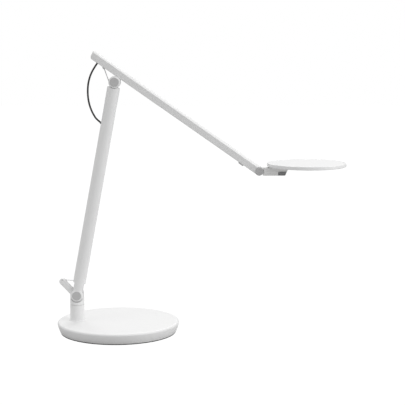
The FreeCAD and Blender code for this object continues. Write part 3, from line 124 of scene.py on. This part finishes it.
def roundBar(mesh, points, radius, sides):
    # a bar with slightly rounded ends along the points
    headings = []
    for here in range(len(points)):
        before, after = points[max(here - 1, 0)], points[min(here + 1, len(points) - 1)]
        headings.append((after - before).normalized())
    soft = radius * barShape["endRound"]
    stations = [(point, heading, radius) for point, heading in zip(points, headings)]
    stations[0] = (points[0] + headings[0] * soft, headings[0], radius)
    stations[-1] = (points[-1] - headings[-1] * soft, headings[-1], radius)
    stations.insert(0, (points[0], headings[0], radius - soft))
    stations.append((points[-1], headings[-1], radius - soft))
    across = Vector((0, 1, 0))
    rings = [addRing(mesh, centre, heading, across, size, sides) for centre, heading, size in stations]
    for first, second in zip(rings, rings[1:]):
        bridge(mesh, first, second)
    mesh.faces.new(list(reversed(rings[0])))
    mesh.faces.new(rings[-1])


def turnedProfile(mesh, centre, axis, profile, sides):
    # a turned piece: pairs of place along the axis and radius
    side = axis.orthogonal().normalized()
    rings = [addRing(mesh, centre + axis * along, axis, side, radius, sides) for along, radius in profile]
    for first, second in zip(rings, rings[1:]):
        bridge(mesh, first, second)


def addBall(mesh, end, beside, radius):
    # the ball on a wire's end
    bands = barShape["ballBands"]
    profile = []
    for step in range(bands + 1):
        angle = step * math.pi / bands
        profile.append((-radius * math.cos(angle), radius * math.sin(angle) if 0 < step < bands else 0))
    turnedProfile(mesh, end, (end - beside).normalized(), profile, barShape["ballSides"])


def startBar(shape):
    mesh = bmesh.new()
    line = smoothLine(shape["route"])
    roundBar(mesh, line, shape["radius"] / 1000, shape["sides"])
    return mesh, line


def finishMesh(mesh, name, smooth=True):
    bmesh.ops.recalc_face_normals(mesh, faces=mesh.faces[:])
    data = bpy.data.meshes.new(name)
    mesh.to_mesh(data)
    mesh.free()
    for face in data.polygons:
        face.use_smooth = smooth
    piece = bpy.data.objects.new(name, data)
    scene.collection.objects.link(piece)
    return piece


# the black cord round the elbow
elbowCordShape = {
    "route": [(-28.524, 443.650), (-35.120, 434.230), (-40.4, 424.9), (-44.3, 414.0),
              (-46.2, 402.3), (-46.3, 390.1), (-44.9, 378.4), (-41.6, 367.0), (-36.6, 356.9),
              (-32.150, 350.219), (-23.031, 343.212)],
    "radius": 1.5,
    "sides": 20,
    "length": 0.112,    # metres
    "upperMouth": (-30.2, 441.2),
    "lowerMouth": (-25.4, 345.0),
}

cordMesh, cordLine = startBar(elbowCordShape)
elbowCord = finishMesh(cordMesh, "elbowCord")
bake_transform(elbowCord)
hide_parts("elbow_cord")

# the wire from the lever's pin into the lower arm, with an eye and a ball
baseWireShape = {
    "route": [(-90.07, 86.65), (-80.0, 85.89), (-67.65, 84.95), (-60.95, 84.43),
              (-59.77, 91.07), (-51.96, 132.92)],
    "radius": 0.7,
    "sides": 14,
    "pin": (-91.667, 86.777),
    "eyeRadii": (1.1, 2.1),
    "eyeHalf": 1.05,
    "eyeEdge": 0.25,
    "eyeSides": 32,
    "ball": 1.7,
    "entry": (-75.0, 85.5),
}

wireMesh, wireLine = startBar(baseWireShape)
pin = Vector(midPoint(*baseWireShape["pin"]))
bore, rim = (radius / 1000 for radius in baseWireShape["eyeRadii"])
half = baseWireShape["eyeHalf"] / 1000
soft = baseWireShape["eyeEdge"] / 1000
eyeProfile = [(-half, bore), (-half, rim - soft), (-half + soft, rim), (half - soft, rim),
              (half, rim - soft), (half, bore), (-half, bore)]
turnedProfile(wireMesh, pin, Vector((0, 1, 0)), eyeProfile, baseWireShape["eyeSides"])
addBall(wireMesh, wireLine[-1], wireLine[-2], baseWireShape["ball"] / 1000)
baseWire = finishMesh(wireMesh, "baseWire")
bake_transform(baseWire)
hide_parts("base_wire")

# the wire from the elbow's knuckle over the roller into the upper arm, with a ball on each end
elbowWireShape = {
    "route": [(-4.489, 390.786), (-10.3, 407.1), (-21.85, 439.51), (-23.01, 442.79),
              (-21.26, 445.80), (-17.84, 446.40), (-15.16, 444.16), (28.825, 407.522)],
    "radius": 0.7,
    "sides": 14,
    "ball": 1.7,
    # slanted, so that the whole length inside the upper arm lies beyond
    "leaves": (-4.5, 390.8),
    "arrives": (10.4, 410.6),
}

wireMesh, wireLine = startBar(elbowWireShape)
for end, beside in ((wireLine[0], wireLine[1]), (wireLine[-1], wireLine[-2])):
    addBall(wireMesh, end, beside, elbowWireShape["ball"] / 1000)
elbowWire = finishMesh(wireMesh, "elbowWire")
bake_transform(elbowWire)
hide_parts("elbow_wire")
print("cord and wires made")


# shader groups that several finishes share
def newGroup(name, inputs, outputs):
    tree = bpy.data.node_groups.new(name, "ShaderNodeTree")
    for label, kind, value in inputs:
        socket = tree.interface.new_socket(label, in_out="INPUT", socket_type="NodeSocket" + kind)
        if value is not None:
            socket.default_value = value
    for label, kind in outputs:
        tree.interface.new_socket(label, in_out="OUTPUT", socket_type="NodeSocket" + kind)
    return tree, tree.nodes.new("NodeGroupInput").outputs, tree.nodes.new("NodeGroupOutput").inputs


def feed(tree, socket, value):
    if isinstance(value, bpy.types.NodeSocket):
        tree.links.new(value, socket)
    else:
        socket.default_value = value


def calc(tree, operation, first, second, clamp=False):
    node = tree.nodes.new("ShaderNodeMath")
    node.operation = operation
    node.use_clamp = clamp
    feed(tree, node.inputs[0], first)
    feed(tree, node.inputs[1], second)
    return node.outputs[0]


def times(tree, first, second, clamp=False):
    return calc(tree, "MULTIPLY", first, second, clamp)


def plus(tree, first, second, clamp=False):
    return calc(tree, "ADD", first, second, clamp)


def noise(tree, vector, scale, detail, rough=0.5):
    node = tree.nodes.new("ShaderNodeTexNoise")
    feed(tree, node.inputs["Vector"], vector)
    feed(tree, node.inputs["Scale"], scale)
    node.inputs["Detail"].default_value = detail
    node.inputs["Roughness"].default_value = rough
    return node.outputs["Fac"]


def spread(tree, value, low, high, newLow=0.0, newHigh=1.0):
    node = tree.nodes.new("ShaderNodeMapRange")
    feed(tree, node.inputs["Value"], value)
    feed(tree, node.inputs["From Min"], low)
    feed(tree, node.inputs["From Max"], high)
    feed(tree, node.inputs["To Min"], newLow)
    feed(tree, node.inputs["To Max"], newHigh)
    return node.outputs["Result"]


def blendColour(tree, amount, first, second):
    node = tree.nodes.new("ShaderNodeMix")
    node.data_type = "RGBA"
    feed(tree, node.inputs["Factor"], amount)
    feed(tree, node.inputs["A"], first)
    feed(tree, node.inputs["B"], second)
    return node.outputs["Result"]


# slow changes of shade and a fine grain, for paint and plastic
grainRule = {
    "cloudScale": 9.0, "cloudRange": (0.3, 0.7), "deepShade": (0.35, 0.35, 0.34, 1),
    "coarseScale": 0.22, "coarseHeight": 0.8,    # shares of the fine grain's
    "middle": 0.5,
}
surfaceGrain, given, result = newGroup("surfaceGrain", [
    ("Place", "Vector", None), ("Colour", "Color", (1, 1, 1, 1)), ("Shade Change", "Float", 0.03),
    ("Grain Size", "Float", 2200.0), ("Roughness", "Float", 0.4), ("Roughness Change", "Float", 0.08)],
    [("Colour", "Color"), ("Roughness", "Float"), ("Height", "Float")])
cloud = noise(surfaceGrain, given["Place"], grainRule["cloudScale"], detail=4.0)
cloud = spread(surfaceGrain, cloud, *grainRule["cloudRange"])
shade = times(surfaceGrain, cloud, given["Shade Change"])
feed(surfaceGrain, result["Colour"],
     blendColour(surfaceGrain, shade, given["Colour"], grainRule["deepShade"]))
fine = noise(surfaceGrain, given["Place"], given["Grain Size"], detail=2.0)
coarseSize = times(surfaceGrain, given["Grain Size"], grainRule["coarseScale"])
coarse = noise(surfaceGrain, given["Place"], coarseSize, detail=1.0)
low = times(surfaceGrain, coarse, grainRule["coarseHeight"])
feed(surfaceGrain, result["Height"], plus(surfaceGrain, fine, low))
wander = calc(surfaceGrain, "SUBTRACT", coarse, grainRule["middle"])
wander = times(surfaceGrain, wander, given["Roughness Change"])
feed(surfaceGrain, result["Roughness"], plus(surfaceGrain, given["Roughness"], wander, clamp=True))

# the finish rubbed thin on outer edges
wearRule = {"edgeRange": (0.53, 0.60), "patchScale": 140.0, "patchRange": (0.42, 0.62)}
edgeWear, given, result = newGroup("edgeWear", [
    ("Place", "Vector", None), ("Colour", "Color", (1, 1, 1, 1)),
    ("Worn Colour", "Color", (0.6, 0.6, 0.6, 1)), ("Amount", "Float", 0.3)], [("Colour", "Color")])
shape = edgeWear.nodes.new("ShaderNodeNewGeometry")
edge = spread(edgeWear, shape.outputs["Pointiness"], *wearRule["edgeRange"])
patch = noise(edgeWear, given["Place"], wearRule["patchScale"], detail=4.0)
patch = spread(edgeWear, patch, *wearRule["patchRange"])
mask = times(edgeWear, times(edgeWear, edge, patch), given["Amount"], clamp=True)
feed(edgeWear, result["Colour"], blendColour(edgeWear, mask, given["Colour"], given["Worn Colour"]))

# a thin film of dust on what faces up
dustRule = {
    "upRange": (0.6, 1.0), "speckScale": 620.0, "speckRough": 0.7, "speckRange": (0.56, 0.72),
    "speckShare": 0.75, "filmShare": 0.25, "matting": 0.4,
}
settledDust, given, result = newGroup("settledDust", [
    ("Place", "Vector", None), ("Colour", "Color", (1, 1, 1, 1)),
    ("Dust Colour", "Color", (0.55, 0.53, 0.5, 1)), ("Roughness", "Float", 0.4),
    ("Amount", "Float", 0.1)], [("Colour", "Color"), ("Roughness", "Float")])
shape = settledDust.nodes.new("ShaderNodeNewGeometry")
upward = settledDust.nodes.new("ShaderNodeSeparateXYZ")
feed(settledDust, upward.inputs[0], shape.outputs["Normal"])
facing = spread(settledDust, upward.outputs["Z"], *dustRule["upRange"])
speck = noise(settledDust, given["Place"], dustRule["speckScale"], detail=5.0, rough=dustRule["speckRough"])
speck = spread(settledDust, speck, *dustRule["speckRange"])
film = plus(settledDust, times(settledDust, speck, dustRule["speckShare"]), dustRule["filmShare"])
mask = times(settledDust, times(settledDust, facing, film), given["Amount"], clamp=True)
feed(settledDust, result["Colour"],
     blendColour(settledDust, mask, given["Colour"], given["Dust Colour"]))
matting = times(settledDust, mask, dustRule["matting"])
feed(settledDust, result["Roughness"], plus(settledDust, given["Roughness"], matting, clamp=True))

# fine lines of drawn or turned metal along one axis
lineRule = {
    "lineRough": 0.6, "stainScale": 60.0, "middle": 0.5, "stainRoughness": 0.25,
    "lineShade": 0.22, "deepShade": (0.2, 0.2, 0.21, 1),
}
drawnLines, given, result = newGroup("drawnLines", [
    ("Place", "Vector", None), ("Stretch", "Vector", (1.0, 0.04, 1.0)),
    ("Colour", "Color", (0.6, 0.6, 0.6, 1)), ("Roughness", "Float", 0.3),
    ("Line Size", "Float", 1500.0)],
    [("Colour", "Color"), ("Roughness", "Float"), ("Height", "Float")])
stretched = drawnLines.nodes.new("ShaderNodeVectorMath")
stretched.operation = "MULTIPLY"
feed(drawnLines, stretched.inputs[0], given["Place"])
feed(drawnLines, stretched.inputs[1], given["Stretch"])
lines = noise(drawnLines, stretched.outputs[0], given["Line Size"], detail=4.0, rough=lineRule["lineRough"])
stain = noise(drawnLines, given["Place"], lineRule["stainScale"], detail=3.0)
feed(drawnLines, result["Height"], lines)
wander = calc(drawnLines, "SUBTRACT", stain, lineRule["middle"])
wander = times(drawnLines, wander, lineRule["stainRoughness"])
feed(drawnLines, result["Roughness"], plus(drawnLines, given["Roughness"], wander, clamp=True))
shade = times(drawnLines, lines, lineRule["lineShade"])
feed(drawnLines, result["Colour"],
     blendColour(drawnLines, shade, given["Colour"], lineRule["deepShade"]))
print("shader groups made")


# finishes
def newFinish(name):
    material = bpy.data.materials.new(name)
    material.use_nodes = True
    tree = material.node_tree
    shader = tree.nodes["Principled BSDF"]
    place = tree.nodes.new("ShaderNodeTexCoord").outputs["Object"]
    return material, tree, shader, place


def useGroup(tree, group, values):
    node = tree.nodes.new("ShaderNodeGroup")
    node.node_tree = group
    for label, value in values.items():
        feed(tree, node.inputs[label], value)
    return node.outputs


def addGrain(tree, place, look):
    return useGroup(tree, surfaceGrain, {
        "Place": place, "Colour": look["colour"], "Shade Change": look["shadeChange"],
        "Grain Size": look["grainSize"], "Roughness": look["roughness"],
        "Roughness Change": look["roughnessChange"]})


def bump(tree, shader, height, strength, distance):
    node = tree.nodes.new("ShaderNodeBump")
    node.inputs["Strength"].default_value = strength
    node.inputs["Distance"].default_value = distance
    feed(tree, node.inputs["Height"], height)
    feed(tree, shader.inputs["Normal"], node.outputs["Normal"])


def coatedFinish(name, look):
    # paint or plastic: grain, a little wear on edges and dust on top
    material, tree, shader, place = newFinish(name)
    grain = addGrain(tree, place, look)
    worn = useGroup(tree, edgeWear, {
        "Place": place, "Colour": grain["Colour"], "Worn Colour": look["wornColour"],
        "Amount": look["wear"]})
    dusty = useGroup(tree, settledDust, {
        "Place": place, "Colour": worn["Colour"], "Roughness": grain["Roughness"],
        "Amount": look["dust"]})
    feed(tree, shader.inputs["Base Color"], dusty["Colour"])
    feed(tree, shader.inputs["Roughness"], dusty["Roughness"])
    shader.inputs["Specular IOR Level"].default_value = look["specular"]
    shader.inputs["Coat Weight"].default_value = look["coat"]
    shader.inputs["Coat Roughness"].default_value = look["coatRoughness"]
    bump(tree, shader, grain["Height"], look["bump"], look["grainDepth"])
    return material


def metalFinish(name, look):
    # bare metal: fine lines, with brighter edges
    material, tree, shader, place = newFinish(name)
    drawn = useGroup(tree, drawnLines, {
        "Place": place, "Stretch": look["stretch"], "Colour": look["colour"],
        "Roughness": look["roughness"], "Line Size": look["lineSize"]})
    worn = useGroup(tree, edgeWear, {
        "Place": place, "Colour": drawn["Colour"], "Worn Colour": look["wornColour"],
        "Amount": look["wear"]})
    feed(tree, shader.inputs["Base Color"], worn["Colour"])
    feed(tree, shader.inputs["Roughness"], drawn["Roughness"])
    shader.inputs["Metallic"].default_value = 1.0
    bump(tree, shader, drawn["Height"], look["bump"], look["lineDepth"])
    return material


finishes = {}

whitePaintLook = {
    "colour": (0.80, 0.80, 0.80, 1), "shadeChange": 0.02, "grainSize": 2600.0, "roughness": 0.42,
    "roughnessChange": 0.10, "wornColour": (0.86, 0.86, 0.86, 1), "wear": 0.35, "dust": 0.05,
    "specular": 0.4, "coat": 0.08, "coatRoughness": 0.25, "bump": 0.18, "grainDepth": 0.00001,
}
finishes["white_paint"] = coatedFinish("whitePaint", whitePaintLook)
finishes["cast_aluminium"] = coatedFinish("paintedCasting", {
    **whitePaintLook, "grainSize": 2000.0, "bump": 0.22})
finishes["white_plastic"] = coatedFinish("whitePlastic", {
    **whitePaintLook, "colour": (0.78, 0.78, 0.775, 1), "grainSize": 3400.0, "roughness": 0.5,
    "wear": 0.15, "coat": 0.0, "bump": 0.25})
finishes["grey_cap"] = coatedFinish("greyCap", {
    **whitePaintLook, "colour": (0.50, 0.50, 0.50, 1), "wornColour": (0.56, 0.56, 0.56, 1),
    "grainSize": 3000.0, "roughness": 0.55, "coat": 0.0, "bump": 0.25})
finishes["dark_button"] = coatedFinish("darkButton", {
    **whitePaintLook, "colour": (0.20, 0.20, 0.205, 1), "wornColour": (0.3, 0.3, 0.3, 1),
    "shadeChange": 0.05, "grainSize": 3000.0, "roughness": 0.5, "coat": 0.0, "dust": 0.08, "bump": 0.6})

rubberLook = {
    "colour": (0.045, 0.045, 0.047, 1), "shadeChange": 0.08, "grainSize": 1500.0, "roughness": 0.75,
    "roughnessChange": 0.2, "wornColour": (0.10, 0.10, 0.10, 1), "wear": 0.4, "dust": 0.2,
    "specular": 0.3, "coat": 0.0, "coatRoughness": 0.3, "bump": 0.8, "grainDepth": 0.00005,
}
finishes["rubber_pad"] = coatedFinish("rubberPad", rubberLook)
finishes["black_cord"] = coatedFinish("cordSheath", {
    **rubberLook, "colour": (0.012, 0.012, 0.013, 1), "grainSize": 2600.0, "roughness": 0.38,
    "roughnessChange": 0.12, "wear": 0.0, "dust": 0.06, "specular": 0.5, "bump": 0.35})
finishes["bearing_plastic"] = coatedFinish("bearingPlastic", {
    **whitePaintLook, "colour": (0.62, 0.61, 0.58, 1), "roughness": 0.35, "coat": 0.0})
finishes["cast_iron"] = coatedFinish("castIron", {
    **rubberLook, "colour": (0.11, 0.105, 0.10, 1), "grainSize": 700.0, "roughness": 0.7,
    "wornColour": (0.3, 0.29, 0.28, 1), "grainDepth": 0.0002})

steelLook = {
    "colour": (0.62, 0.62, 0.63, 1), "roughness": 0.28, "lineSize": 1800.0, "stretch": (1.0, 0.04, 1.0),
    "wornColour": (0.8, 0.8, 0.8, 1), "wear": 0.3, "bump": 0.25, "lineDepth": 0.00002,
}
finishes["steel"] = metalFinish("turnedSteel", steelLook)
finishes["steel_wire"] = metalFinish("wireSteel", {
    **steelLook, "colour": (0.74, 0.74, 0.75, 1), "roughness": 0.42, "stretch": (1.0, 1.0, 1.0),
    "bump": 0.3})
finishes["brass_bush"] = metalFinish("brassBush", {
    **steelLook, "colour": (0.72, 0.52, 0.22, 1), "roughness": 0.25,
    "wornColour": (0.9, 0.75, 0.45, 1)})

clearLook = {
    "colour": (0.95, 0.97, 0.97, 1), "shadeChange": 0.02, "grainSize": 900.0, "roughness": 0.06,
    "roughnessChange": 0.05, "ior": 1.49, "transmission": 1.0,
}
material, tree, shader, place = newFinish("clearAcrylic")
grain = addGrain(tree, place, clearLook)
feed(tree, shader.inputs["Base Color"], grain["Colour"])
feed(tree, shader.inputs["Roughness"], grain["Roughness"])
shader.inputs["Transmission Weight"].default_value = clearLook["transmission"]
shader.inputs["IOR"].default_value = clearLook["ior"]
finishes["clear_acrylic"] = material

finishes["milky_diffuser"] = coatedFinish("milkyDiffuser", {
    **whitePaintLook, "colour": (0.86, 0.86, 0.85, 1), "grainSize": 4200.0, "roughness": 0.33,
    "wear": 0.0, "dust": 0.0, "coat": 0.3, "coatRoughness": 0.15, "bump": 0.25})

# circuit board: a green mask with copper pads
boardLook = {
    "colour": (0.02, 0.16, 0.07, 1), "shadeChange": 0.1, "grainSize": 1600.0, "roughness": 0.4,
    "roughnessChange": 0.2, "copper": (0.65, 0.42, 0.18, 1), "padScale": 480.0,
    "padEdge": (0.22, 0.26), "bump": 0.5, "padHeight": 0.00005,
}
material, tree, shader, place = newFinish("circuitBoard")
cells = tree.nodes.new("ShaderNodeTexVoronoi")
cells.feature = "F1"
feed(tree, cells.inputs["Vector"], place)
cells.inputs["Scale"].default_value = boardLook["padScale"]
pads = spread(tree, cells.outputs["Distance"], *boardLook["padEdge"], newLow=1.0, newHigh=0.0)
grain = addGrain(tree, place, boardLook)
feed(tree, shader.inputs["Base Color"], blendColour(tree, pads, grain["Colour"], boardLook["copper"]))
feed(tree, shader.inputs["Metallic"], pads)
feed(tree, shader.inputs["Roughness"], grain["Roughness"])
bump(tree, shader, pads, boardLook["bump"], boardLook["padHeight"])
finishes["circuit_board"] = material
print("finishes made:", len(finishes))


# every piece takes the finish of its slot
for entry in frame["record"]["subparts"]:
    data = nodes[entry["node"]].data
    data.materials.clear()
    data.materials.append(finishes[entry["material_slot"]])
for piece, slotName in ((elbowCord, "black_cord"), (baseWire, "steel_wire"), (elbowWire, "steel_wire")):
    piece.data.materials.append(finishes[slotName])
print("finishes placed")


# floor: seen as plain white, while what it throws back is greyer
floorLook = {
    "size": 6.0, "segments": 12, "bright": 1.06, "shadow": 0.03, "bounce": (0.5, 0.5, 0.5, 1),
    "roughness": 0.9, "specular": 0.0,
}

mesh = bmesh.new()
bmesh.ops.create_grid(mesh, x_segments=floorLook["segments"], y_segments=floorLook["segments"],
                      size=floorLook["size"])
floor = finishMesh(mesh, "floor", smooth=False)
floorPaint = bpy.data.materials.new("floorPaint")
floorPaint.use_nodes = True
tree = floorPaint.node_tree
shader = tree.nodes["Principled BSDF"]
shader.inputs["Base Color"].default_value = floorLook["bounce"]
shader.inputs["Roughness"].default_value = floorLook["roughness"]
shader.inputs["Specular IOR Level"].default_value = floorLook["specular"]
glow = tree.nodes.new("ShaderNodeEmission")
glow.inputs["Strength"].default_value = floorLook["bright"]
seen = tree.nodes.new("ShaderNodeLightPath")
mix = tree.nodes.new("ShaderNodeMixShader")
feed(tree, mix.inputs[0], times(tree, seen.outputs["Is Camera Ray"], 1 - floorLook["shadow"]))
feed(tree, mix.inputs[1], shader.outputs[0])
feed(tree, mix.inputs[2], glow.outputs[0])
feed(tree, tree.nodes["Material Output"].inputs["Surface"], mix.outputs[0])
floor.data.materials.append(floorPaint)


# light: three soft boxes in a pale room that is dark below
def softBox(name, look):
    light = bpy.data.lights.new(name, "AREA")
    light.shape = "RECTANGLE"
    light.size, light.size_y = look["size"]
    light.energy = look["power"]
    box = bpy.data.objects.new(name, light)
    box.location = look["place"]
    aim = Vector(look["aim"]) - Vector(look["place"])
    box.rotation_euler = aim.to_track_quat("-Z", "Y").to_euler()
    scene.collection.objects.link(box)


softBoxes = {
    "overBack": {"place": (0, 2.4, 2.8), "aim": (0, 0, 0.25), "size": (3.0, 2.0), "power": 45},
    "rightSide": {"place": (2.4, -0.9, 1.2), "aim": (0, 0, 0.25), "size": (1.8, 1.8), "power": 30},
    "leftSide": {"place": (-2.4, -0.9, 1.2), "aim": (0, 0, 0.25), "size": (1.8, 1.8), "power": 9},
}
for name, look in softBoxes.items():
    softBox(name, look)

roomLight = {
    "above": (1.03, 1.03, 1.03, 1), "below": (0.01, 0.01, 0.01, 1), "seen": (1, 1, 1, 1),
    "heights": (-0.25, 0.9),
}
world = bpy.data.worlds.new("paleRoom")
scene.world = world
world.use_nodes = True
tree = world.node_tree
backdrop = tree.nodes["Background"]
direction = tree.nodes.new("ShaderNodeTexCoord")
split = tree.nodes.new("ShaderNodeSeparateXYZ")
feed(tree, split.inputs[0], direction.outputs["Generated"])
height = spread(tree, split.outputs["Z"], *roomLight["heights"])
seen = tree.nodes.new("ShaderNodeLightPath")
gradient = blendColour(tree, height, roomLight["below"], roomLight["above"])
feed(tree, backdrop.inputs["Color"],
     blendColour(tree, seen.outputs["Is Camera Ray"], gradient, roomLight["seen"]))
scene.view_settings.view_transform = "Standard"
print("floor and light made")
